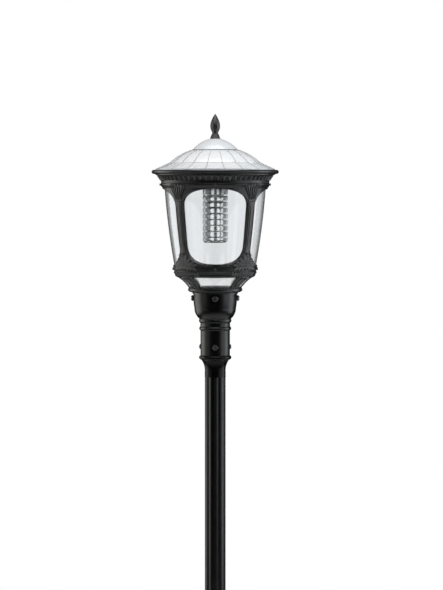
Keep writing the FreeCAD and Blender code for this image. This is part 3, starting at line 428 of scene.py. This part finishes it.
# %% [markdown]
# ## Plastics and rubber
# Moulded plastic has a fine spark-eroded texture. One recipe covers the cases, the seals, the boards
# and the battery wrap: only colour, gloss and the size of the texture change.

# %% A recipe for moulded plastic
def moulded(name, colour, rough, texture=1500.0, depth=0.00008, dust_amount=0.15, **plain):
    """Moulded plastic or rubber with the fine texture of its mould."""
    material, tree, shader, where = new_material(name, **plain)
    skin = use(tree, grain, Vector=where, Peel_Scale=texture, Mottle_Scale=70.0)
    film = use(tree, dust, Vector=where, Amount=dust_amount)
    base = blend_colour(tree, skin.outputs["Mottle"], colour, [min(1.0, c * 1.25 + 0.003) for c in colour])
    base = blend_colour(tree, film.outputs["Mask"], base, (0.30, 0.29, 0.27))
    tree.links.new(base, shader.inputs["Base Color"])
    tree.links.new(span(tree, skin.outputs["Mottle"], 0.0, 1.0, rough - 0.05, rough + 0.08),
                   shader.inputs["Roughness"])
    bump = place(tree, "ShaderNodeBump", Strength=0.5, Distance=depth, Height=skin.outputs["Height"])
    tree.links.new(bump.outputs["Normal"], shader.inputs["Normal"])
    return material


# %% [markdown]
# ## One finish for each slot
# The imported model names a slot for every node, such as the tube or the rubber of the seals. A table
# from slot to finish dresses all sixty nodes, and it shows at a glance what the lamp is made of.

# %% Choose a finish for each slot
finish_of_slot = {
    "black_casting": casting_paint,
    "black_tube": post_paint,
    "black_screw": screw_highlit_paint,
    "screw_steel": stainless,
    "clear_lens": lens_clear,
    "seal_rubber": moulded("matt_rubber", (0.018, 0.018, 0.018), 0.62),
    "roof_metal": cap_paint,
    "solar_glass": solar_laminate,
    "plain_aluminium": plain_aluminium,
    "bright_aluminium": bright_aluminium,
    "battery_wrap": moulded("cell_wrap", (0.03, 0.10, 0.20), 0.25, texture=300.0, Coat_Weight=0.3),
    "dark_plastic": moulded("moulded_black", (0.02, 0.02, 0.021), 0.45),
    "rocker_plastic": moulded("moulded_red", (0.30, 0.02, 0.015), 0.35),
    "board_green": moulded("green_board", (0.02, 0.12, 0.045), 0.35, Coat_Weight=0.4),
    "board_white": moulded("white_board", (0.75, 0.75, 0.72), 0.40),
    "led_phosphor": moulded("amber_phosphor", (0.80, 0.62, 0.12), 0.25, Coat_Weight=0.6),
    "lead_insulation": moulded("lead_sleeve", (0.02, 0.02, 0.02), 0.40),
}
print(len(finish_of_slot), "finishes, one for each slot of the record")

# %% [markdown]
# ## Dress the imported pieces
# The shapes stay exactly as packed, and only their material slots change. A few nodes share a slot
# with others but look a little different, so they are named one by one.

# %% Give every node its finish
slot_of_node = {row["node"]: row["material_slot"] for row in frame["record"]["subparts"]}
for name, piece in nodes.items():
    piece.data.materials.clear()
    piece.data.materials.append(finish_of_slot[slot_of_node[name]])
own_finish = {
    "seam_strips": seam_paint,
    "lower_lens": lens_frosted,
    "finial": finial_lit_paint,
    "post_adaptor": flare_paint,
    # The lantern's castings take the greyer coat, which paints in light.
    "cornice": lantern_lit_paint,
    "upper_cage": lantern_lit_paint,
    "lower_cage": lantern_lit_paint,
}
for name, finish in own_finish.items():
    nodes[name].data.materials[0] = finish
print("dressed", len(nodes), "nodes,", len(own_finish), "of them by name")

# %% [markdown]
# ## Feeling a casting's surface
# The leaves and flutes stand a few millimetres proud of the castings, so first the castings have to
# be felt. A ray is cast inwards at the post's axis: where it stops is the outside of the casting,
# and where it meets nothing there is a window. Stepping sideways until the surface ends or jumps
# gives the casting's width at any height.

# %% Feel where a casting is
MM = 0.001
RAY_START = 0.30
JUMP = 3 * MM
skins = {}


def skin_radius(node, angle, z):
    """Distance from the post's axis to a casting's outside, or None where the casting is open."""
    if node not in skins:
        mesh = nodes[node].data
        mesh.calc_loop_triangles()
        skins[node] = BVHTree.FromPolygons([v.co for v in mesh.vertices],
                                           [t.vertices for t in mesh.loop_triangles])
    outward = Vector((math.cos(angle), math.sin(angle), 0.0))
    hit = skins[node].ray_cast(outward * RAY_START + Vector((0, 0, z)), -outward, RAY_START)[0]
    return None if hit is None else math.hypot(hit.x, hit.y)


def reach_of(node, centre, half, z):
    """How far a casting goes on both sides of a patch's middle at one height, up to half."""
    first = skin_radius(node, centre, z)
    steps = 60
    for side in (-1, 1):
        last = first
        for angle in np.linspace(0, half, steps)[1:]:
            r = skin_radius(node, centre + side * angle, z)
            if r is None or abs(r - last) > JUMP:
                half = angle - half / (steps - 1)
                break
            last = r
    return half


corners = [math.radians(45 + 90 * k) for k in range(4)]
band_low, band_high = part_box("upper_cage")
cornice_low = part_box("cornice")[0]
cage_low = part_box("lower_cage")[0]
print("cornice at", round(skin_radius("cornice", 0.0, cornice_low.z + 30 * MM), 4), "from the axis")

# %% [markdown]
# ## A closed piece from a grid
# A carving is two grids of points, one for its face and one for its bed, with walls between them all
# round the edge. Closing it by hand keeps it a solid that could be cast or printed, which a loose
# sheet couldn't be. Round the whole lamp the last column meets the first, and no wall is needed.

# %% Close a grid into a piece
def mesh_piece(name, points, faces, body, material):
    """Makes a mesh from points and faces, smooths it and lets it ride on a body."""
    mesh = bpy.data.meshes.new(name)
    mesh.from_pydata(points.tolist(), [], faces)
    mesh.update()
    mesh.shade_smooth()
    mesh.materials.append(material)
    piece = bpy.data.objects.new(name, mesh)
    bpy.context.scene.collection.objects.link(piece)
    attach(piece, body)
    return piece


def closed_grid(front, back, around):
    """Points and faces of a slab between two grids of points. Around joins the last column to the first."""
    rows, columns = front.shape[:2]
    points = np.concatenate([front.reshape(-1, 3), back.reshape(-1, 3)])
    under = rows * columns
    faces = []
    steps = rows if around else rows - 1
    for i in range(steps):
        k = (i + 1) % rows
        for j in range(columns - 1):
            a, b, c, d = i * columns + j, k * columns + j, k * columns + j + 1, i * columns + j + 1
            faces += [(a, b, c, d), (under + d, under + c, under + b, under + a)]
        for j, flip in ((0, False), (columns - 1, True)):
            a, b = i * columns + j, k * columns + j
            side = (a, under + a, under + b, b)
            faces.append(side[::-1] if flip else side)
    if not around:
        for i, flip in ((0, True), (rows - 1, False)):
            for j in range(columns - 1):
                a, b = i * columns + j, i * columns + j + 1
                side = (a, under + a, under + b, b)
                faces.append(side[::-1] if flip else side)
    return points, faces


sample = np.zeros((3, 3, 3))
print("a grid of 3 by 3 closes into", len(closed_grid(sample, sample, False)[1]), "faces")

# %% [markdown]
# ## Laying a relief
# A relief is a height drawn over a patch and laid on the casting. It could be a bump map, but then
# the outline would stay smooth and the light wouldn't catch its crests. Each point also keeps its
# share of the height, which the carved coat uses to paint a grey highlight on its crests.

# %% Lay a relief on a casting
EDGE_FALL, SUNK = 2.5 * MM, 0.5 * MM


def relief(name, node, body, centre, half, low, high, rows, columns, height, around=False, fit=False,
           bed=1.4 * MM):
    """A carved piece on a casting: height(u, v) in metres, with u from -1 to 1 across and v from 0 to 1 up.

    The patch stops where the casting stops. With fit, u runs over the casting's own width instead.
    """
    front = np.zeros((rows, columns, 3))
    back, lift = np.zeros_like(front), np.zeros((rows, columns))
    for j, z in enumerate(np.linspace(low, high, columns)):
        reach = half if around else reach_of(node, centre, half, z)
        for i, angle in enumerate(np.linspace(-reach, reach, rows, endpoint=not around)):
            r = skin_radius(node, centre + angle * 0.999, z) or skin_radius(node, centre, z)
            u, v = angle / (reach if fit else half), j / (columns - 1)
            out = height(u, v)
            if reach < half and not fit:  # sink into the casting just before its edge
                near = min(1.0, (reach - abs(angle)) * r / EDGE_FALL)
                out = out * near - SUNK * (1 - near)
            x, y = math.cos(centre + angle), math.sin(centre + angle)
            front[i, j] = (x * (r + out), y * (r + out), z)
            back[i, j] = (x * (r - bed), y * (r - bed), z)
            lift[i, j] = out
    points, faces = closed_grid(front, back, around)
    piece = mesh_piece(name, points, faces, body, carved_paint)
    # Each point's share of the height, which the carved coat turns into a painted highlight on the crests.
    rise = piece.data.attributes.new("rise", "FLOAT", "POINT")
    share = np.clip(lift / max(lift.max(), MM), 0.0, 1.0).ravel()
    rise.data.foreach_set("value", np.concatenate([share, np.zeros_like(share)]))
    return piece


print("carving bench ready; lantern from", round(band_low.z, 4), "to", round(band_high.z, 4))

# %% [markdown]
# ## Leaves
# An acanthus leaf is drawn here as a height over a flat patch: a rounded blade whose edge swings in
# and out to make lobes, with a groove for each lobe's vein. Several leaves are laid over each other
# by keeping the highest, which is how a carver undercuts one leaf with the next.

# %% Draw one leaf as a height
def leaf(x, y, root, tip, width, lobes=5, curl=0.35):
    """Height from 0 to 1 of a lobed leaf between two points, or below 0 outside it."""
    ax, ay = tip[0] - root[0], tip[1] - root[1]
    length = math.hypot(ax, ay)
    along = ((x - root[0]) * ax + (y - root[1]) * ay) / length ** 2
    across = ((x - root[0]) * -ay + (y - root[1]) * ax) / length
    if along <= 0 or along >= 1:
        return -1.0
    spread = width * math.sin(math.pi * along ** 0.75) ** 0.7
    swing = 1 + 0.22 * math.cos(2 * math.pi * lobes * along + 2.0 * abs(across) / width)
    edge = spread * swing
    if abs(across) >= edge:
        return -1.0
    t = abs(across) / edge
    dome = math.sqrt(1 - t * t)
    vein = 0.45 * math.exp(-(across / (0.09 * width)) ** 2)
    ribs = 0.22 * (0.5 + 0.5 * math.cos(2 * math.pi * lobes * (along + 0.35 * t)))
    return dome * (0.62 + curl * along) - vein * dome - ribs * t


def carve(leaves, deep, plain=-0.6 * MM):
    """A height function for a patch, from a list of leaves given in the patch's own units."""
    def height(u, v):
        best = max(leaf(u, v, *one) for one in leaves)
        return plain if best < 0 else best * deep
    return height


def both_sides(leaves):
    """Each leaf with its mirror image after it."""
    return [((side * rx, ry), (side * tx, ty), *rest)
            for (rx, ry), (tx, ty), *rest in leaves for side in (1, -1)]


print("halfway along a leaf its side stands", round(leaf(0.05, 0.5, (0, 0), (0, 1), 0.2), 2), "high")

# %% [markdown]
# ## Frieze of the cornice
# A band of small upright leaves runs round the hollow of the cornice, with a dart between each pair.
# Sixty of each fill the circle. The grid runs all the way round and closes on itself.

# %% Carve the frieze
frieze_units = 60
frieze_foot, frieze_head = cornice_low.z + 23 * MM, cornice_low.z + 41.5 * MM


def frieze_height(u, v):
    """An upright leaf in the middle of each unit, and half a dart on both of its sides."""
    place_in_ring = (u + 1) / 2 * frieze_units
    x = (place_in_ring % 1.0 - 0.5) * 2
    y = (v - 0.06) / 0.88
    if not 0 < y < 1:
        return -0.5 * MM
    wide = 0.60 * math.sqrt(max(0.0, 1 - max(0.0, (y - 0.45) / 0.55) ** 2)) * (0.8 + 0.2 * y)
    tall = -1.0
    if abs(x) < wide:
        t = abs(x) / wide
        tall = math.sqrt(1 - t * t) - 0.5 * math.exp(-(x / 0.08) ** 2) - 0.18 * math.cos(9 * t)
    gap = 1 - abs(x)
    slim = 0.22 * (1 - y) ** 0.6
    dart = math.sqrt(max(0.0, 1 - (gap / slim) ** 2)) * 0.7 if gap < slim else -1.0
    best = max(tall, dart)
    return -0.6 * MM if best < 0 else (0.5 + 3.3 * best) * MM


frieze = relief("frieze", "cornice", "roof", -math.pi / 2, math.pi, frieze_foot, frieze_head,
                frieze_units * 18, 24, frieze_height, around=True)
print("frieze:", len(frieze.data.vertices), "points")

# %% [markdown]
# ## Rib mouldings and capitals
# Each rib has a rounded face with four reeds that catch long highlights. Above it comes a small bead,
# then a capital of flutes that fans out under the top band, as on a Corinthian column made flat.

# %% Draw a rib, its bead and its capital
rib_foot, rib_top = band_low.z + 62 * MM, band_high.z - 66 * MM
neck, capital_top = rib_top + 5 * MM, band_high.z - 4 * MM
FLUTES = 7


def rib_height(u, v):
    """A rounded face with four reeds, which fades out at both ends."""
    ends = min(1.0, v / 0.02, (1 - v) / 0.02)
    round_face = math.sqrt(max(0.0, 1 - (1.12 * u) ** 2))
    reed = 1.3 * MM * (0.5 - 0.5 * math.cos(4 * math.pi * u)) ** 2
    return (2.2 * MM * round_face + reed) * ends - 0.3 * MM


def bead_height(u, v):
    """A half-round bead across the rib."""
    half_round = math.sqrt(max(0.0, 1 - (2 * v - 1) ** 2))
    return 4.4 * MM * half_round * min(1.0, (1 - abs(u)) * 8) - 0.2 * MM


def capital_height(u, v):
    """Flutes that spread and rise towards a curved brow."""
    half = 0.34 + 0.62 * v ** 1.3
    x = u / half
    dome = 1 - 0.16 * u * u / 0.8
    if abs(x) >= 1 or v > dome:
        return -0.7 * MM
    flute = abs(math.cos(FLUTES / 2 * math.pi * x)) ** 0.6
    rise = 2.0 + 5.0 * v ** 1.5
    brow = math.sqrt(max(0.0, 1 - max(0.0, (v - dome + 0.14) / 0.14) ** 2))
    return rise * MM * (0.12 + 0.88 * flute) * (1 - x ** 8) * brow


print("ribs run from", round(rib_foot, 4), "to", round(rib_top, 4), "and capitals to", round(capital_top, 4))

# %% [markdown]
# ## Four of each
# The lantern is the same on all four corners, so one drawing is laid four times. The moulding and
# its bead take the rib's own width, and the capital spreads over the arches beside it.

# %% Carve the four ribs
RIB_HALF, CAPITAL_HALF = math.radians(7), math.radians(15.5)
for k, corner in enumerate(corners, 1):
    relief(f"rib_moulding_{k}", "upper_cage", "lantern", corner, RIB_HALF, rib_foot, rib_top, 29, 60,
           rib_height, fit=True)
    relief(f"rib_bead_{k}", "upper_cage", "lantern", corner, RIB_HALF, rib_top - 1 * MM, neck, 21, 9,
           bead_height, fit=True)
    relief(f"capital_{k}", "upper_cage", "lantern", corner, CAPITAL_HALF, neck - 1 * MM, capital_top,
           151, 54, capital_height)
print("carved", len(corners), "ribs with beads and capitals")

# %% [markdown]
# ## Feet of the ribs
# At its foot each rib spreads into a bunch of acanthus leaves, and one more leaf runs down each
# short rib below. They are the same leaf, laid at different slants, and each bunch is the same on
# its left and its right, so only one side is written down.

# %% Draw the leaves of the feet
# Each leaf is its root, its tip, its width, how many lobes it has and how much it curls.
foot_leaves = [
    ((0.0, 0.30), (0.0, 0.99), 0.20, 5, 0.3),
    ((0.0, 0.42), (0.0, 0.01), 0.16, 4, 0.4),
    *both_sides([
        ((0.07, 0.34), (0.30, 0.96), 0.14, 4, 0.4),
        ((0.15, 0.30), (0.60, 0.80), 0.13, 4, 0.4),
        ((0.25, 0.26), (0.85, 0.58), 0.11, 4, 0.4),
        ((0.40, 0.24), (0.99, 0.34), 0.10, 4, 0.3),
        ((0.08, 0.38), (0.30, 0.01), 0.13, 4, 0.4),
        ((0.22, 0.32), (0.58, 0.01), 0.12, 4, 0.4),
        ((0.44, 0.26), (0.88, 0.02), 0.11, 4, 0.4),
    ]),
]
short_leaves = [
    ((0.0, 0.98), (0.0, 0.42), 0.62, 4, 0.3),
    ((0.0, 0.60), (0.0, 0.02), 0.50, 4, 0.4),
    *both_sides([((0.15, 0.80), (0.85, 0.52), 0.20, 3, 0.3)]),
]
ring_leaves = [((0.17 * i, 0.02), (0.17 * i, 0.98), 0.088, 3, 0.3) for i in range(-5, 6)]
print(len(foot_leaves), "leaves on a foot,", len(short_leaves), "below it and", len(ring_leaves), "on the ring")

# %% [markdown]
# ## Laying the leaves
# The bunch wraps the corner of the lower band. Below the ring the short rib is narrow, so its patch
# is narrow too, and the ring between them gets a row of small upright leaves.

# %% Carve the feet and the short ribs
for k, corner in enumerate(corners, 1):
    relief(f"rib_foot_{k}", "upper_cage", "lantern", corner, math.radians(23), band_low.z + 1.5 * MM,
           band_low.z + 66 * MM, 141, 72, carve(foot_leaves, 6.2 * MM))
    relief(f"short_leaf_{k}", "lower_cage", "lantern", corner, math.radians(9), cage_low.z + 48 * MM,
           cage_low.z + 86 * MM, 49, 44, carve(short_leaves, 4.4 * MM, plain=-0.5 * MM))
    relief(f"ring_leaf_{k}", "lower_cage", "lantern", corner, math.radians(24), cage_low.z + 89 * MM,
           cage_low.z + 110 * MM, 141, 26, carve(ring_leaves, 3.4 * MM))
print("leaves on", len(corners), "corners")

# %% [markdown]
# ## Bead under the cap
# The cap sits on the crown of the roof over a rubber bead, which shows as one soft dark line round
# its foot. A bead that is squeezed by hand-tightening isn't even, so its section is turned round the
# axis with a slow, small waver.

# %% Turn the bead
cap_low, cap_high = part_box("roof_cap")
bead_radius, bead_z = (cap_high.x - cap_low.x) / 2 + 0.9 * MM, cap_low.z - 0.3 * MM
half_wide, half_tall = 1.7 * MM, 1.5 * MM
turns, sides = 160, 12
bead = np.zeros((turns, sides, 3))
for i, angle in enumerate(np.linspace(0, 2 * math.pi, turns, endpoint=False)):
    waver = 1 + 0.06 * math.sin(7 * angle) + 0.04 * math.sin(17 * angle + 1.0)
    for j, side in enumerate(np.linspace(0, 2 * math.pi, sides, endpoint=False)):
        r = bead_radius + half_wide * waver * math.cos(side)
        bead[i, j] = (r * math.cos(angle), r * math.sin(angle), bead_z + half_tall * math.sin(side))
faces = [(i * sides + j, (i + 1) % turns * sides + j, (i + 1) % turns * sides + (j + 1) % sides,
          i * sides + (j + 1) % sides) for i in range(turns) for j in range(sides)]
mesh_piece("cap_bead", bead.reshape(-1, 3), faces, "roof", finish_of_slot["seal_rubber"])
print("bead radius", round(bead_radius, 4))

# %% [markdown]
# ## Camera
# The camera stands nine metres away at the height of the lantern's arches, with a long lens, so the
# round castings are hardly distorted. It looks slightly down, and it shows the lantern with the
# upper half of the post.

# %% Place the camera
SENSOR = 36.0
view_height = 2.1535  # how much of the lamp's plane fills the frame, in metres
distance, eye, aside = 9.3, 2.11, 0.0230
aim = 1.7395  # the height that the camera looks at
camera_data = bpy.data.cameras.new("camera")
camera_data.lens = SENSOR * distance / view_height
camera_data.clip_end = 60.0
camera = bpy.data.objects.new("camera", camera_data)
camera.location = (aside, -distance, eye)
camera.rotation_euler = (math.pi / 2 - math.atan2(eye - aim, distance), 0.0, 0.0)
bpy.context.scene.collection.objects.link(camera)
bpy.context.scene.camera = camera
print("lens", round(camera_data.lens, 1), "mm")

# %% [markdown]
# ## Floor
# A pale round floor lies just under the base. It does more than carry a shadow: it throws light up
# under the cornice and into the frieze. A larger one would also turn the black post grey, so it is
# kept under two metres in radius.

# %% Lay the floor
floor_radius, floor_z, floor_sides = 1.9, -0.0005, 96
floor_mesh = bpy.data.meshes.new("floor")
ring = [(floor_radius * math.cos(a), floor_radius * math.sin(a), floor_z)
        for a in np.linspace(0, 2 * math.pi, floor_sides, endpoint=False)]
floor_mesh.from_pydata(ring, [], [tuple(range(floor_sides))])
floor_material, tree, shader, where = new_material("pale_floor", Roughness=0.8)
cloud = place(tree, "ShaderNodeTexNoise", Vector=where, Scale=3.0, Detail=6.0)
tree.links.new(blend_colour(tree, cloud.outputs["Fac"], (0.80, 0.80, 0.80), (0.86, 0.86, 0.86)),
               shader.inputs["Base Color"])
floor_mesh.materials.append(floor_material)
floor = bpy.data.objects.new("floor", floor_mesh)
bpy.context.scene.collection.objects.link(floor)
print("floor", floor_radius, "m in radius")

# %% [markdown]
# ## Lights
# Two tall softboxes stand at the sides, the left one warm and the right one cool: a round black post
# then shows two soft bars of light with a dark middle. Weaker fills in front of them open the
# shadows of the leaves, one light hangs over the roof, and a small spot adds a point of light to
# the domes.

# %% Hang the lights
AXIS = (0, 0, 1.8)


def softbox(name, place_at, look_at, width, tall, radiance, colour):
    """An area light of a given brightness, aimed at a point, that the camera and the lens don't see."""
    data = bpy.data.lights.new(name, "AREA")
    data.shape = "RECTANGLE"
    data.size, data.size_y = width, tall
    data.energy = radiance * math.pi * width * tall
    data.color = colour
    lamp = bpy.data.objects.new(name, data)
    lamp.location = place_at
    aim_along = Vector(look_at) - Vector(place_at)
    lamp.rotation_euler = aim_along.to_track_quat("-Z", "Y").to_euler()
    lamp.visible_camera = False
    lamp.visible_transmission = False
    bpy.context.scene.collection.objects.link(lamp)
    return lamp


softbox("left_softbox", (-3.3, 1.1, 2.0), AXIS, 3.0, 4.0, 2.1, (1.0, 0.985, 0.96))
softbox("left_front_fill", (-3.4, -1.9, 2.2), AXIS, 1.8, 3.6, 0.60, (1.0, 0.99, 0.975))
softbox("right_softbox", (3.5, 0.45, 2.0), AXIS, 2.0, 4.0, 2.6, (0.93, 0.97, 1.0))
softbox("right_front_fill", (3.5, -1.9, 2.2), AXIS, 2.2, 3.6, 1.35, (0.95, 0.98, 1.0))
softbox("top_softbox", (0.0, -1.0, 5.4), (0, 0, 2.2), 3.6, 3.6, 4.0, (1.0, 1.0, 1.0))
softbox("high_front_spot", (0.4, -4.6, 5.2), (0, 0, 2.0), 0.9, 0.9, 5.0, (1.0, 1.0, 1.0))

# %% [markdown]
# ## Side panels that the metal sees
# The backdrop can't be one brightness. Straight through the lens it has to look nearly white. The
# polished louvres behind the lens would mirror that white all round and lose their shape, so
# after one reflection a ray finds two upright panels instead, with a dark gap between them. The
# panels are drawn by the direction of the ray, and those behind the lamp are dimmer.

# %% Draw the two panels by direction
PANEL_LIGHT, SIDE_LIGHT, GAP_LIGHT, BEHIND = 1.25, 0.08, 0.03, 0.42
world = bpy.data.worlds.new("studio")
world.use_nodes = True
bpy.context.scene.world = world
tree = world.node_tree
way = tree.nodes.new("ShaderNodeTexCoord")
parts = place(tree, "ShaderNodeSeparateXYZ", Vector=way.outputs["Generated"])
across = sum_of(tree, "MULTIPLY", parts.outputs["X"], -1.0)
# The turn from straight ahead, in radians: left of the front is below zero, and right is above.
turn = sum_of(tree, "ARCTANGENT", sum_of(tree, "DIVIDE", across, parts.outputs["Y"]), 0.0)
left_panel = sum_of(tree, "MULTIPLY", span(tree, turn, -1.10, -0.98), span(tree, turn, -0.16, -0.26))
right_panel = sum_of(tree, "MULTIPLY", span(tree, turn, 0.26, 0.36), span(tree, turn, 1.40, 1.25))
panels = sum_of(tree, "MULTIPLY", sum_of(tree, "ADD", left_panel, right_panel), PANEL_LIGHT)
sides_off = span(tree, sum_of(tree, "ABSOLUTE", turn, 0.0), 0.98, 1.10)
ends = sum_of(tree, "MULTIPLY", sides_off, SIDE_LIGHT)
front = span(tree, parts.outputs["Y"], 0.25, -0.10, BEHIND, 1.0)
lit = sum_of(tree, "MULTIPLY", sum_of(tree, "MAXIMUM", panels, ends), front)
in_metal = sum_of(tree, "ADD", lit, GAP_LIGHT)
print("panels from 0.26 to 1.40 radians right and 0.16 to 1.10 left, at", PANEL_LIGHT)

# %% [markdown]
# ## Backdrop
# The kind of ray then chooses the brightness: white to the eye, a little less straight through the
# lens, the panels after a reflection behind the lens, and nearly black to every other reflection. A
# real studio does the same with black flags at the sides of a white paper.

# %% Light the backdrop by the kind of ray
THROUGH_LENS, DIM = 0.83, 0.006
backdrop = tree.nodes["Background"]
path = tree.nodes.new("ShaderNodeLightPath")
mirrored = span(tree, path.outputs["Glossy Depth"], 0.0, 1.0)
straight = sum_of(tree, "MULTIPLY", sum_of(tree, "SUBTRACT", 1.0, mirrored), THROUGH_LENS)
through = sum_of(tree, "ADD", sum_of(tree, "MULTIPLY", in_metal, mirrored), straight)
seen = sum_of(tree, "MULTIPLY", path.outputs["Is Camera Ray"], 1.0 - DIM)
inside = sum_of(tree, "MULTIPLY", path.outputs["Is Transmission Ray"], sum_of(tree, "SUBTRACT", through, DIM))
tree.links.new(sum_of(tree, "ADD", sum_of(tree, "ADD", seen, inside), DIM), backdrop.inputs["Strength"])
backdrop.inputs["Color"].default_value = (1.0, 1.0, 1.0, 1.0)
scene = bpy.context.scene
scene.view_settings.view_transform = "Standard"
scene.view_settings.look = "None"
print("backdrop:", THROUGH_LENS, "through the lens and", DIM, "to other reflections")
